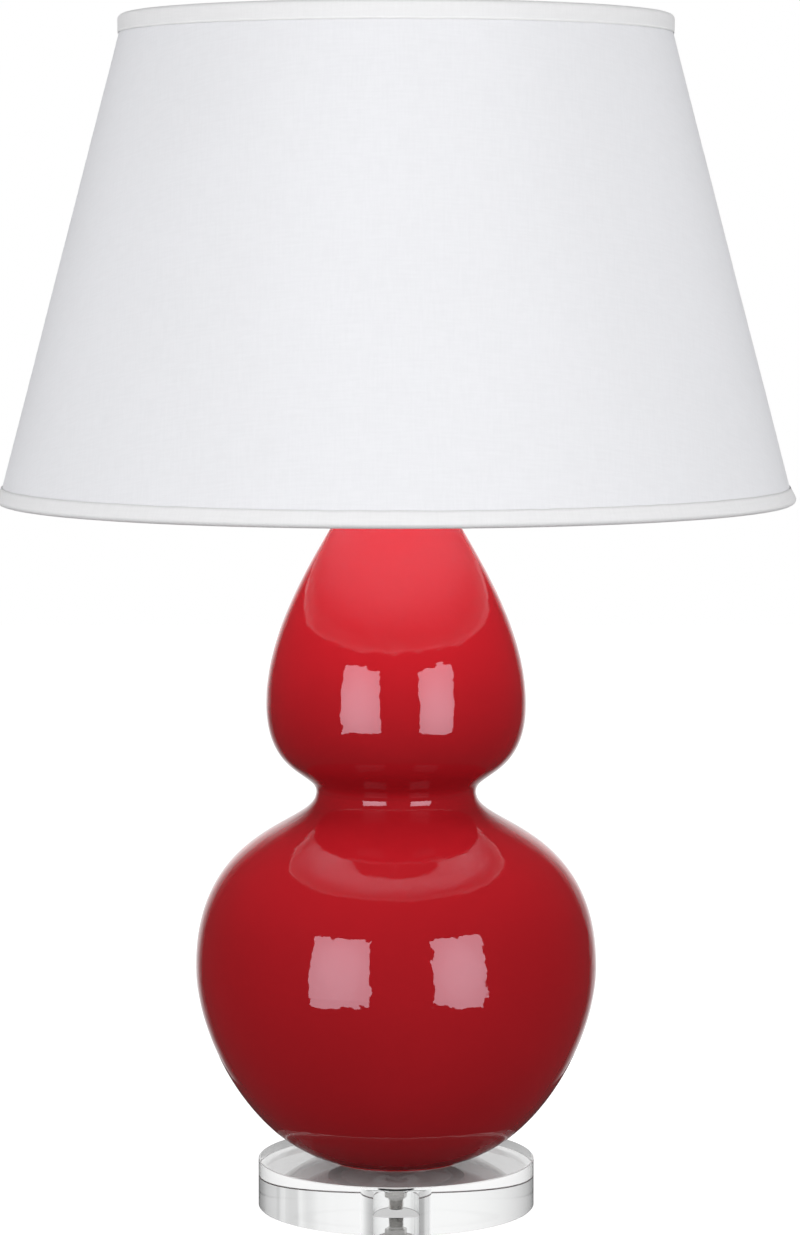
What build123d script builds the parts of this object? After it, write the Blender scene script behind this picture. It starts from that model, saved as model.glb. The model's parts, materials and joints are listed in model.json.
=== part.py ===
from build123d import *
import math
import os

# A table lamp: a glazed ceramic double gourd on a clear acrylic disc, with a fabric shade on a harp.
# Millimetres, +Z up. The origin is on the table, under the middle of the disc. -Y is the front.

# Clearances
HOLE_CLEARANCE = 0.3       # all round, where a rod passes a plain hole
THREAD_CLEARANCE = 0.05    # all round, between a thread and its nut
TURNING_GAP = 0.1          # between flat faces that turn on each other
NEST_CLEARANCE = 0.15      # all round, between a sleeve and what it is pushed into

# Acrylic disc and the hardware under it
BASE_DIAMETER = 177.0
BASE_THICKNESS = 30.6
BASE_EDGE = 0.5
RECESS_DIAMETER = 30.1
RECESS_DEPTH = 16.1
WASHER_DIAMETER = 15.7
WASHER_THICKNESS = 1.6
NUT_ACROSS_FLATS = 12.7
NUT_HEIGHT = 4.4
NUT_TURN = 10.0
NUT_CHAMFER = 0.6

# Threaded rod through the whole lamp
PIPE_DIAMETER = 9.8
PIPE_BORE = 6.6
PIPE_TIP_HEIGHT = 2.6
THREAD_PITCH = 0.94
THREAD_DEPTH = 0.5
CORD_SLOT_WIDTH = 5.0
CORD_SLOT_LENGTH = 18.0

# Ceramic gourd: radii, the rise from each to the next, and how far each curve runs straight up there,
# as a share of that rise
FOOT_RADIUS = 44.0
FOOT_RIM = 0.8
FOOT_RING_WIDTH = 8.0
FOOT_RECESS = 2.0
FOOT_REACH = 49.0
FOOT_LIFT = 11.7
BELLY_RADIUS = 128.5
WAIST_RADIUS = 51.2
HEAD_RADIUS = 83.2
MOUTH_RADIUS = 21.0
BELLY_RISE = 124.4
WAIST_RISE = 112.1
HEAD_RISE = 56.6
MOUTH_RISE = 150.3
BELLY_FULLNESS_BELOW = 0.361
BELLY_FULLNESS_ABOVE = 0.811
WAIST_FULLNESS_BELOW = 0.210
WAIST_FULLNESS_ABOVE = 0.238
HEAD_FULLNESS_BELOW = 0.816
HEAD_FULLNESS_ABOVE = 0.391
MOUTH_REACH = 15.4
MOUTH_LIFT = 34.5
MOUTH_WALL = 6.0
CERAMIC_WALL = 6.5
FLOOR_HOLE = 14.0
OUTLET_PLACE = 0.40        # of the way along the curve from the foot to the belly
OUTLET_HOLE = 10.0
OUTLET_SEAT_DEPTH = 0.4    # of the flat ground into the glaze under the flange
OUTLET_SEAT_CLEARANCE = 0.2
BUSHING_FLANGE = 14.0
BUSHING_FLANGE_HEIGHT = 1.6
BUSHING_ROUNDING = 0.5
BUSHING_BORE = 6.8
BUSHING_PROJECTION = 2.0   # past the inside of the wall
BUSHING_SHANK_CLEARANCE = 0.1

# Cap and tube between the ceramic and the socket
CAP_SKIRT_RADIUS = 24.4
CAP_SKIRT_DEPTH = 3.0
CAP_SKIRT_WALL = 1.4
CAP_TOP_RADIUS = 9.5
CAP_HEIGHT = 10.0
CAP_WALL = 2.2
CAP_DOME_RISE = 0.8        # of the cap's height, where its dome has turned towards the top
CAP_RIM_RISE = 1.4
NECK_DIAMETER = 15.9
NECK_LENGTH = 13.0

# Harp and its saddle
SADDLE_THICKNESS = 1.6
SADDLE_WIDTH = 11.0
SADDLE_ARM = 9.4
SADDLE_BEND = 6.0
HARP_FOOT_SPREAD = 52.0    # between the two legs' centre lines
HARP_WIRE = 3.4
POST_LENGTH = 11.5
LAP_LENGTH = 7.0
LAP_GAP = 0.1
HARP_LEG_LENGTH = 53.0     # from the saddle to where the legs flare
HARP_FLARE_RISE = 42.0
HARP_SPREAD = 113.0
HARP_SHOULDER_DROP = 42.0
HARP_HEIGHT = 234.4        # from the saddle to the seat of the shade
HARP_PLATE_LENGTH = 30.0
HARP_PLATE_WIDTH = 11.0
HARP_PLATE_THICKNESS = 1.6
HARP_PLATE_CORNER = 3.7
HARP_FLARE_BEND = 30.0
HARP_SIDE_BEND = 60.0
HARP_SHOULDER_BEND = 36.0
HARP_TOP_BEND = 8.0
WIRE_END_GAP = 1.0         # from the head of the stud
SLEEVE_LENGTH = 22.0
SLEEVE_WALL = 0.8
SLEEVE_LIFT = 1.0          # above the saddle's arm
WIRE_SUNK = 0.3            # into the plate that it is brazed to
SLEEVE_CLEARANCE = 0.2
STUD_DIAMETER = 6.35
STUD_HEIGHT = 13.0
STUD_POINT = 0.6
STUD_HEAD_RADIUS = 4.4
STUD_HEAD_HEIGHT = 1.6

# Socket
SOCKET_HUB_RADIUS = 8.5
SOCKET_HUB_FLAT = 3.4
SOCKET_HUB_HEIGHT = 7.0
SOCKET_CAP_RADIUS = 17.9
SOCKET_CAP_SHOULDER = 12.0
SOCKET_CAP_HEIGHT = 20.0
SOCKET_BELL_CURVE = 5.0
SOCKET_WALL = 0.6
SET_SCREW_DIAMETER = 2.4
SET_SCREW_HEAD = 2.2       # past the hub
SCREW_SLOT_WIDTH = 0.6
SCREW_SLOT_DEPTH = 0.6
SHELL_LOW = 13.5
SHELL_HIGH = 64.0
SHELL_BEAD = 0.8
SHELL_BEAD_HEIGHT = 1.0
LINER_WALL = 0.8
LINER_HIGH = 61.5
INTERIOR_LOW = 13.0
INTERIOR_HIGH = 36.0
INTERIOR_CLEARANCE = 0.3
SCREW_SHELL_WALL = 0.6
SCREW_SHELL_HIGH = 61.0
SCREW_SHELL_FLOOR_HOLE = 9.0
CONTACT_RADIUS = 4.0
CONTACT_HEIGHT = 1.6
TERMINAL_HEAD_RADIUS = 3.0
TERMINAL_HEAD_HEIGHT = 2.0
TERMINAL_SHANK_RADIUS = 1.5
TERMINAL_SHANK_LENGTH = 5.0
TERMINAL_NOTCH_DEPTH = 3.0
SWITCH_HEIGHT = 25.5
SWITCH_SHAFT_RADIUS = 2.0
SWITCH_BORE_DEPTH = 11.0   # into the body of the socket
SWITCH_FIT = 0.05
SWITCH_HOLE_CLEARANCE = 1.0
SWITCH_END_GAP = 0.5
KNOB_RADIUS = 6.5
KNOB_LENGTH = 14.0
KNOB_GAP = 2.4             # from the shell
KNOB_BORE_DEPTH = 9.0
KNOB_FLUTES = 14
KNOB_FLUTE_RADIUS = 0.7
KNOB_FLUTE_DEPTH = 0.5
KNOB_CHAMFER = 0.6
KNOB_DOME = 3.0

# Bulb
BULB_BASE_RADIUS = 13.0
BULB_BASE_CLEARANCE = 0.4  # all round, in the socket's screw shell
BULB_BASE_WALL = 0.4
BULB_CONTACT_RADIUS = 4.5
BULB_CONTACT_HEIGHT = 1.6
BULB_CONTACT_ROUNDING = 1.0
BULB_INSULATOR_HEIGHT = 3.6
BULB_INSULATOR_RADIUS = 9.4
BULB_INSULATOR_STEP = 0.6
BULB_BASE_TAPER = 3.5
BULB_BASE_HEIGHT = 23.0
BULB_NECK_RADIUS = 12.3
BULB_NECK_DEPTH = 14.0     # of glass inside the base
BULB_RADIUS = 30.0
BULB_LENGTH = 110.0
BULB_GLASS = 0.8
BULB_FLANK_FULLNESS = 0.5
BULB_NECK_COLLAR = 2.0     # of straight neck above the base
BULB_GAP = 0.2             # above the socket's contact

# Shade
SPIDER_RING_RADIUS = 11.0
SPIDER_RING_THICKNESS = 1.6
SPIDER_HOLE_CLEARANCE = 0.4
SPIDER_WIRE = 3.2
SPIDER_ARMS = 3
SPIDER_FLAT = 24.0
SPIDER_BEND = 14.0
SPIDER_OVERLAP = 3.0       # of each arm on the ring
SPIDER_FIRST_ARM = 30.0
SHADE_DROP = 28.9          # from the top of the shade down to its seat on the harp
SHADE_HEIGHT = 308.85
SHADE_TOP_RADIUS = 172.7   # of the cone, in the plane of the rim
SHADE_BOTTOM_RADIUS = 252.9
FABRIC_THICKNESS = 0.6
LINER_THICKNESS = 0.5
LAMINATE_GAP = 0.05
RIM_WIRE = 3.6
RIM_WIRE_DEPTH = 3.6
TAPE_THICKNESS = 0.8
TAPE_GAP = 0.1
CLOTH_EDGE_DEPTH = 1.3     # from the rim to the edge of the cloth under the tape
BAND_STEP = 0.5            # of the tape's edge, on the cloth
TOP_BAND_HEIGHT = 11.6
BOTTOM_BAND_HEIGHT = 10.3
BOTTOM_BAND_FLARE = 1.4    # past the cone in the plane of the rim
BAND_ROUNDING = 3.0
BAND_ROLL = 3.9            # of the outer corner, across the rim
INNER_BAND_HEIGHT = 9.5

# Finial
FINIAL_BASE_RADIUS = 6.3
FINIAL_NECK_RADIUS = 4.4
FINIAL_BASE_HEIGHT = 5.0
FINIAL_FOOT_HEIGHT = 1.2
FINIAL_LIP = 0.5
FINIAL_BALL_RADIUS = 9.5
FINIAL_BALL_SUNK = 1.3     # of the ball that is cut off where it meets its base
FINIAL_BORE_DEPTH = 8.0

QUARTER_ROUND = 0.5523     # of the radius: the handle of a curve that draws a quarter of a circle

# Heights above the table
base_top = BASE_THICKNESS
washer_low = RECESS_DEPTH - WASHER_THICKNESS
nut_low = washer_low - NUT_HEIGHT
mouth_height = base_top + BELLY_RISE + WAIST_RISE + HEAD_RISE + MOUTH_RISE
cap_top = mouth_height + CAP_HEIGHT
neck_top = cap_top + NECK_LENGTH
saddle_top = neck_top + SADDLE_THICKNESS
shade_seat = saddle_top + HARP_HEIGHT
rim_top = shade_seat + TURNING_GAP + SHADE_DROP
rim_low = rim_top - SHADE_HEIGHT
contact_top = saddle_top + INTERIOR_HIGH + CONTACT_HEIGHT

pipe_radius = PIPE_DIAMETER / 2
pipe_hole = pipe_radius + HOLE_CLEARANCE
thread_hole = pipe_radius + THREAD_CLEARANCE
wire_radius = HARP_WIRE / 2
leg_x = HARP_FOOT_SPREAD / 2


def turned(*outline):
    """A solid turned about the Z axis from corners and curves given as (radius, height)."""
    edges = []
    corner = None
    for item in outline:
        is_curve = isinstance(item, Edge)
        start = item @ 0 if is_curve else Vector(*item)
        if corner is not None and (start - corner).length > 1e-6:
            edges.append(Line(corner, start))
        if is_curve:
            edges.append(item)
            corner = item @ 1
        else:
            corner = start
    first = outline[0] @ 0 if isinstance(outline[0], Edge) else Vector(*outline[0])
    if (first - corner).length > 1e-6:
        edges.append(Line(corner, first))
    return revolve(make_face(Plane.XZ * Wire(edges)), Axis.Z)


def ring(inner, outer, low, high):
    return turned((inner, low), (outer, low), (outer, high), (inner, high))


def rod(start, end, radius):
    """A round rod from one point to another."""
    start = Vector(*start)
    along = Vector(*end) - start
    place = Plane(origin=start + along * 0.5, z_dir=along.normalized())
    return place * Cylinder(radius, along.length)


# ---- Base ----

def acrylic_base():
    radius = BASE_DIAMETER / 2
    recess = RECESS_DIAMETER / 2
    return turned(
        (recess, 0), (radius - BASE_EDGE, 0), (radius, BASE_EDGE), (radius, base_top - BASE_EDGE),
        (radius - BASE_EDGE, base_top), (pipe_hole, base_top), (pipe_hole, RECESS_DEPTH),
        (recess, RECESS_DEPTH),
    )


def base_washer():
    return ring(pipe_hole, WASHER_DIAMETER / 2, washer_low, RECESS_DEPTH)


def base_nut():
    corner = NUT_ACROSS_FLATS / math.sqrt(3)
    prism = extrude(Rot(0, 0, NUT_TURN) * RegularPolygon(corner, 6), NUT_HEIGHT)
    blunt = turned(
        (0, nut_low), (corner - NUT_CHAMFER, nut_low), (corner, nut_low + NUT_CHAMFER / 2),
        (corner, washer_low), (0, washer_low),
    )
    return (Pos(0, 0, nut_low) * prism & blunt) - ring(0, thread_hole, nut_low, washer_low)


def lamp_pipe():
    """The rod ends below its nut in turns of thread that can be seen, and has a slot for the cord."""
    turns = max(0, int((nut_low - PIPE_TIP_HEIGHT) / THREAD_PITCH))
    thread = []
    for turn in range(turns):
        valley = PIPE_TIP_HEIGHT + turn * THREAD_PITCH
        thread.append((pipe_radius - THREAD_DEPTH, valley))
        thread.append((pipe_radius, valley + THREAD_PITCH / 2))
    thread.append((pipe_radius, PIPE_TIP_HEIGHT + (turns + 0.5) * THREAD_PITCH))
    top = saddle_top + SOCKET_HUB_HEIGHT
    bore = PIPE_BORE / 2
    pipe = turned((bore, PIPE_TIP_HEIGHT), *thread, (pipe_radius, top), (bore, top))
    slot_middle = base_top + CERAMIC_WALL + FOOT_LIFT + CORD_SLOT_LENGTH
    slot = Pos(0, pipe_radius, slot_middle) * Box(CORD_SLOT_WIDTH, PIPE_DIAMETER, CORD_SLOT_LENGTH)
    return pipe - slot


# ---- Ceramic ----

def gourd_curves(inset, foot_radius, foot_height, mouth_radius):
    """The four curves of the gourd's side, from its foot to its mouth, drawn a wall thickness further in."""
    belly = (BELLY_RADIUS - inset, base_top + BELLY_RISE)
    waist = (WAIST_RADIUS - inset, belly[1] + WAIST_RISE)
    head = (HEAD_RADIUS - inset, waist[1] + HEAD_RISE)
    mouth = (mouth_radius, head[1] + MOUTH_RISE)
    foot = (foot_radius, base_top + foot_height)
    reach = FOOT_REACH * (belly[0] - foot[0]) / (BELLY_RADIUS - FOOT_RADIUS)
    lower = Bezier(
        foot, (foot[0] + reach, foot[1] + FOOT_LIFT),
        (belly[0], belly[1] - BELLY_FULLNESS_BELOW * BELLY_RISE), belly,
    )
    shoulder = Bezier(
        belly, (belly[0], belly[1] + BELLY_FULLNESS_ABOVE * WAIST_RISE - inset),
        (waist[0], waist[1] - WAIST_FULLNESS_BELOW * WAIST_RISE - inset), waist,
    )
    neck = Bezier(
        waist, (waist[0], waist[1] + WAIST_FULLNESS_ABOVE * HEAD_RISE + inset),
        (head[0], head[1] - HEAD_FULLNESS_BELOW * HEAD_RISE + inset), head,
    )
    upper = Bezier(
        head, (head[0], head[1] + HEAD_FULLNESS_ABOVE * MOUTH_RISE),
        (mouth[0] + MOUTH_REACH, mouth[1] - MOUTH_LIFT), mouth,
    )
    return [lower, shoulder, neck, upper]


def outlet_plane():
    """The flat seat on the back of the ceramic, square to its surface, where the cord comes out."""
    lower = gourd_curves(0, FOOT_RADIUS, FOOT_RIM, MOUTH_RADIUS)[0]
    point = lower @ OUTLET_PLACE
    slope = lower % OUTLET_PLACE
    surface = Plane(origin=(0, point.X, point.Y), x_dir=(1, 0, 0), z_dir=(0, slope.Y, -slope.X))
    return surface.offset(-OUTLET_SEAT_DEPTH)


def ceramic_body():
    outside = gourd_curves(0, FOOT_RADIUS, FOOT_RIM, MOUTH_RADIUS)
    floor = FOOT_RIM + CERAMIC_WALL
    inside = gourd_curves(CERAMIC_WALL, FOOT_RADIUS - CERAMIC_WALL / 2, floor, MOUTH_RADIUS - MOUTH_WALL)
    hole = FLOOR_HOLE / 2
    ring_inner = FOOT_RADIUS - FOOT_RING_WIDTH
    top = Line(outside[-1] @ 1, inside[-1] @ 1)
    foot = [
        Line(inside[0] @ 0, (hole, base_top + floor)),
        Line((hole, base_top + floor), (hole, base_top + FOOT_RECESS)),
        Line((hole, base_top + FOOT_RECESS), (ring_inner, base_top + FOOT_RECESS)),
        Line((ring_inner, base_top + FOOT_RECESS), (ring_inner, base_top)),
        Line((ring_inner, base_top), (FOOT_RADIUS, base_top)),
        Line((FOOT_RADIUS, base_top), outside[0] @ 0),
    ]
    section = make_face(Plane.XZ * Wire([*outside, top, *inside, *foot]))
    body = revolve(section, Axis.Z)
    seat_radius = BUSHING_FLANGE / 2 + OUTLET_SEAT_CLEARANCE
    seat = Pos(0, 0, CERAMIC_WALL / 2) * Cylinder(seat_radius, CERAMIC_WALL)
    drill = Cylinder(OUTLET_HOLE / 2, 4 * CERAMIC_WALL)
    return body - outlet_plane() * (seat + drill)


def cord_bushing():
    """A flanged sleeve pushed into the hole from outside."""
    shank_radius = OUTLET_HOLE / 2 - BUSHING_SHANK_CLEARANCE
    inner_end = CERAMIC_WALL + BUSHING_PROJECTION
    flange = Pos(0, 0, BUSHING_FLANGE_HEIGHT / 2) * Cylinder(BUSHING_FLANGE / 2, BUSHING_FLANGE_HEIGHT)
    flange = fillet(flange.edges().group_by(Axis.Z)[-1], BUSHING_ROUNDING)
    shank = Pos(0, 0, -inner_end / 2) * Cylinder(shank_radius, inner_end)
    bore = Cylinder(BUSHING_BORE / 2, 4 * inner_end)
    return outlet_plane() * (flange + shank - bore)


def vase_cap():
    skirt_inner = CAP_SKIRT_RADIUS - CAP_SKIRT_WALL
    turn = mouth_height + CAP_DOME_RISE * CAP_HEIGHT
    middle = (CAP_SKIRT_RADIUS + CAP_TOP_RADIUS) / 2
    dome = Bezier(
        (CAP_SKIRT_RADIUS, mouth_height + CAP_RIM_RISE), (CAP_SKIRT_RADIUS, turn), (middle, turn),
        (CAP_TOP_RADIUS, cap_top),
    )
    recess = MOUTH_RADIUS - MOUTH_WALL
    return turned(
        (pipe_hole, cap_top - CAP_WALL), (CAP_TOP_RADIUS - CAP_SKIRT_WALL, cap_top - CAP_WALL),
        (recess, mouth_height), (skirt_inner, mouth_height), (skirt_inner, mouth_height - CAP_SKIRT_DEPTH),
        (CAP_SKIRT_RADIUS, mouth_height - CAP_SKIRT_DEPTH), dome, (pipe_hole, cap_top),
    )


def neck_tube():
    return ring(pipe_hole, NECK_DIAMETER / 2, cap_top, neck_top)


# ---- Harp ----

lap_top = neck_top + SADDLE_ARM + POST_LENGTH
lap_low = lap_top - LAP_LENGTH
harp_top = shade_seat - HARP_PLATE_THICKNESS


def harp_saddle():
    """A strip bent up at both ends, with a post on each end for a leg of the harp."""
    half = SADDLE_THICKNESS / 2
    outer = Pos(0, SADDLE_ARM) * RectangleRounded(2 * (leg_x + half), 2 * SADDLE_ARM, SADDLE_BEND)
    inner = Pos(0, SADDLE_ARM) * RectangleRounded(
        2 * (leg_x - half), 2 * (SADDLE_ARM - SADDLE_THICKNESS), SADDLE_BEND - SADDLE_THICKNESS)
    kept = Pos(0, SADDLE_ARM / 2) * Rectangle(4 * leg_x, SADDLE_ARM)
    strip = extrude(Plane.XZ * ((outer - inner) & kept), SADDLE_WIDTH / 2, both=True)
    saddle = Pos(0, 0, neck_top) * strip - ring(0, pipe_hole, neck_top, saddle_top)
    arm_top = neck_top + SADDLE_ARM
    for side in (-1, 1):
        post_x = side * leg_x
        lap_x = side * (leg_x - wire_radius + LAP_GAP / 2)
        post = rod((post_x, 0, arm_top - SADDLE_THICKNESS), (post_x, 0, lap_top), wire_radius)
        lap = Pos(lap_x, 0, lap_top - LAP_LENGTH / 2) * Box(HARP_WIRE, 2 * HARP_WIRE, LAP_LENGTH)
        saddle += post - lap
    return saddle


def harp_frame():
    """Two bent wires under a plate. Each leg ends in a half that laps the saddle's post."""
    start = lap_low + LAP_GAP
    flare = saddle_top + HARP_LEG_LENGTH
    wide = HARP_SPREAD / 2
    wire_line = harp_top - wire_radius + WIRE_SUNK
    path = Plane.XZ * FilletPolyline(
        (leg_x, start), (leg_x, flare), (wide, flare + HARP_FLARE_RISE),
        (wide, wire_line - HARP_SHOULDER_DROP), (HARP_PLATE_LENGTH / 2, wire_line),
        (STUD_HEAD_RADIUS + WIRE_END_GAP, wire_line),
        radius=[HARP_FLARE_BEND, HARP_SIDE_BEND, HARP_SHOULDER_BEND, HARP_TOP_BEND],
    )
    section = Pos(leg_x, 0, start) * Circle(wire_radius)
    wire = sweep(section, path)
    lap = Pos(leg_x + wire_radius - LAP_GAP / 2, 0, start + (LAP_LENGTH - LAP_GAP) / 2) * Box(
        HARP_WIRE, 2 * HARP_WIRE, LAP_LENGTH + LAP_GAP)
    wire -= lap
    plate = Pos(0, 0, shade_seat - HARP_PLATE_THICKNESS / 2) * Box(
        HARP_PLATE_LENGTH, HARP_PLATE_WIDTH, HARP_PLATE_THICKNESS)
    plate = fillet(plate.edges().filter_by(Axis.Z), HARP_PLATE_CORNER)
    hole = ring(0, STUD_DIAMETER / 2 + THREAD_CLEARANCE, harp_top, shade_seat)
    return wire + mirror(wire, Plane.YZ) + plate - hole


def harp_sleeve(side):
    inner = wire_radius + SLEEVE_CLEARANCE
    low = neck_top + SADDLE_ARM + SLEEVE_LIFT
    return Pos(side * leg_x, 0, 0) * ring(inner, inner + SLEEVE_WALL, low, low + SLEEVE_LENGTH)


def harp_stud():
    radius = STUD_DIAMETER / 2
    return turned(
        (0, harp_top - STUD_HEAD_HEIGHT), (STUD_HEAD_RADIUS, harp_top - STUD_HEAD_HEIGHT),
        (STUD_HEAD_RADIUS, harp_top), (radius, harp_top), (radius, shade_seat + STUD_HEIGHT - STUD_POINT),
        (radius - STUD_POINT, shade_seat + STUD_HEIGHT), (0, shade_seat + STUD_HEIGHT),
    )


# ---- Socket ----

shell_radius = SOCKET_CAP_RADIUS - SOCKET_WALL - NEST_CLEARANCE
liner_radius = shell_radius - SOCKET_WALL - NEST_CLEARANCE
interior_radius = liner_radius - LINER_WALL - INTERIOR_CLEARANCE
screw_shell_inner = BULB_BASE_RADIUS + BULB_BASE_CLEARANCE
switch_height = saddle_top + SWITCH_HEIGHT


def socket_cap():
    low = saddle_top
    shoulder = low + SOCKET_CAP_SHOULDER
    bell_foot = SOCKET_HUB_RADIUS + SOCKET_BELL_CURVE
    bell = Bezier(
        (SOCKET_HUB_RADIUS, low + SOCKET_HUB_FLAT), (bell_foot, low + SOCKET_HUB_FLAT),
        (SOCKET_CAP_RADIUS, shoulder - SOCKET_BELL_CURVE), (SOCKET_CAP_RADIUS, shoulder),
    )
    inner_radius = SOCKET_CAP_RADIUS - SOCKET_WALL
    inner_bell = Bezier(
        (inner_radius, shoulder), (inner_radius, shoulder - SOCKET_BELL_CURVE),
        (bell_foot, low + SOCKET_HUB_HEIGHT), (SOCKET_HUB_RADIUS, low + SOCKET_HUB_HEIGHT),
    )
    cap = turned(
        (thread_hole, low), (SOCKET_HUB_RADIUS, low), bell, (SOCKET_CAP_RADIUS, low + SOCKET_CAP_HEIGHT),
        (inner_radius, low + SOCKET_CAP_HEIGHT), inner_bell, (thread_hole, low + SOCKET_HUB_HEIGHT),
    )
    return cap - set_screw_shank(THREAD_CLEARANCE)


def set_screw_shank(grown):
    height = saddle_top + SOCKET_HUB_FLAT / 2
    radius = SET_SCREW_DIAMETER / 2 + grown
    return rod((0, thread_hole, height), (0, SOCKET_HUB_RADIUS + SET_SCREW_HEAD / 2, height), radius)


def socket_set_screw():
    height = saddle_top + SOCKET_HUB_FLAT / 2
    head_end = SOCKET_HUB_RADIUS + SET_SCREW_HEAD
    head = rod((0, SOCKET_HUB_RADIUS, height), (0, head_end, height), SET_SCREW_DIAMETER / 2)
    slot = Pos(0, head_end, height) * Box(2 * SET_SCREW_DIAMETER, 2 * SCREW_SLOT_DEPTH, SCREW_SLOT_WIDTH)
    return set_screw_shank(0) + head - slot


def switch_hole():
    reach = 2 * SOCKET_CAP_RADIUS
    radius = SWITCH_SHAFT_RADIUS + SWITCH_HOLE_CLEARANCE
    return rod((0, 0, switch_height), (0, -reach, switch_height), radius)


def socket_shell():
    inner = shell_radius - SOCKET_WALL
    low = saddle_top + SHELL_LOW
    high = saddle_top + SHELL_HIGH
    shell = turned(
        (inner, low), (shell_radius, low), (shell_radius, high - 3 * SHELL_BEAD_HEIGHT),
        (shell_radius + SHELL_BEAD, high - 2 * SHELL_BEAD_HEIGHT),
        (shell_radius + SHELL_BEAD, high - SHELL_BEAD_HEIGHT), (shell_radius, high), (inner, high),
    )
    return shell - switch_hole()


def socket_liner():
    liner = ring(liner_radius - LINER_WALL, liner_radius, saddle_top + SHELL_LOW, saddle_top + LINER_HIGH)
    return liner - switch_hole()


def terminal_screws():
    """Two brass screws, one on each side of the body of the socket."""
    screws = []
    for side in (-1, 1):
        seat = side * (interior_radius - TERMINAL_NOTCH_DEPTH)
        head_end = seat + side * TERMINAL_HEAD_HEIGHT
        head = rod((seat, 0, switch_height), (head_end, 0, switch_height), TERMINAL_HEAD_RADIUS)
        slot = Pos(head_end, 0, switch_height) * Box(
            2 * SCREW_SLOT_DEPTH, 3 * TERMINAL_HEAD_RADIUS, SCREW_SLOT_WIDTH)
        screws.append(head - slot + terminal_shank(side, 0))
    return Compound(children=screws)


def terminal_shank(side, grown):
    seat = side * (interior_radius - TERMINAL_NOTCH_DEPTH)
    end = seat - side * TERMINAL_SHANK_LENGTH
    return rod((seat, 0, switch_height), (end, 0, switch_height), TERMINAL_SHANK_RADIUS + grown)


def socket_interior():
    """The moulded body that holds the switch, with a notch on each side for a terminal screw."""
    low = saddle_top + INTERIOR_LOW
    high = saddle_top + INTERIOR_HIGH
    body = ring(0, interior_radius, low, high)
    for side in (-1, 1):
        notch_x = side * interior_radius
        notch = Pos(notch_x, 0, switch_height) * Box(
            2 * TERMINAL_NOTCH_DEPTH, 3 * TERMINAL_HEAD_RADIUS, 3 * TERMINAL_HEAD_RADIUS)
        body -= notch
        body -= terminal_shank(side, THREAD_CLEARANCE)
    bore_end = -interior_radius + SWITCH_BORE_DEPTH
    bore_radius = SWITCH_SHAFT_RADIUS + SWITCH_FIT
    return body - rod((0, bore_end, switch_height), (0, -SOCKET_CAP_RADIUS, switch_height), bore_radius)


def socket_screw_shell():
    low = saddle_top + INTERIOR_HIGH
    outer = screw_shell_inner + SCREW_SHELL_WALL
    high = saddle_top + SCREW_SHELL_HIGH
    return turned(
        (SCREW_SHELL_FLOOR_HOLE, low), (outer, low), (outer, high), (screw_shell_inner, high),
        (screw_shell_inner, low + SCREW_SHELL_WALL), (SCREW_SHELL_FLOOR_HOLE, low + SCREW_SHELL_WALL),
    )


def socket_contact():
    low = saddle_top + INTERIOR_HIGH
    return ring(0, CONTACT_RADIUS, low, contact_top)


knob_near = shell_radius + KNOB_GAP
knob_far = knob_near + KNOB_LENGTH


def switch_shaft():
    inner_end = -interior_radius + SWITCH_BORE_DEPTH - SWITCH_END_GAP
    outer_end = -knob_near - KNOB_BORE_DEPTH
    return rod((0, inner_end, switch_height), (0, outer_end, switch_height), SWITCH_SHAFT_RADIUS)


def switch_knob():
    """A fluted knob with a rounded end, pointing to the front."""
    dome = Bezier(
        (KNOB_RADIUS, KNOB_LENGTH - KNOB_DOME), (KNOB_RADIUS, KNOB_LENGTH),
        (KNOB_RADIUS - KNOB_DOME, KNOB_LENGTH),
    )
    knob = turned(
        (0, 0), (KNOB_RADIUS - KNOB_CHAMFER, 0), (KNOB_RADIUS, KNOB_CHAMFER), dome, (0, KNOB_LENGTH),
    )
    flute_place = KNOB_RADIUS + KNOB_FLUTE_RADIUS - KNOB_FLUTE_DEPTH
    for flute in range(KNOB_FLUTES):
        turn = Rot(0, 0, flute * 360 / KNOB_FLUTES)
        knob -= turn * Pos(flute_place, 0, KNOB_LENGTH / 2) * Cylinder(KNOB_FLUTE_RADIUS, KNOB_LENGTH)
    knob -= Pos(0, 0, KNOB_BORE_DEPTH / 2) * Cylinder(SWITCH_SHAFT_RADIUS, KNOB_BORE_DEPTH)
    return Plane(origin=(0, -knob_near, switch_height), x_dir=(1, 0, 0), z_dir=(0, -1, 0)) * knob


# ---- Bulb ----

bulb_low = contact_top + BULB_GAP
insulator_low = bulb_low + BULB_CONTACT_HEIGHT
bulb_base_low = insulator_low + BULB_INSULATOR_HEIGHT
bulb_base_top = bulb_base_low + BULB_BASE_HEIGHT


def bulb_contact():
    return turned(
        (0, bulb_low), (BULB_CONTACT_RADIUS - BULB_CONTACT_ROUNDING, bulb_low),
        (BULB_CONTACT_RADIUS, bulb_low + BULB_CONTACT_ROUNDING), (BULB_CONTACT_RADIUS, insulator_low),
        (0, insulator_low),
    )


def bulb_insulator():
    return turned(
        (0, insulator_low), (BULB_CONTACT_RADIUS + BULB_INSULATOR_STEP, insulator_low),
        (BULB_INSULATOR_RADIUS, bulb_base_low), (0, bulb_base_low),
    )


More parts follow.
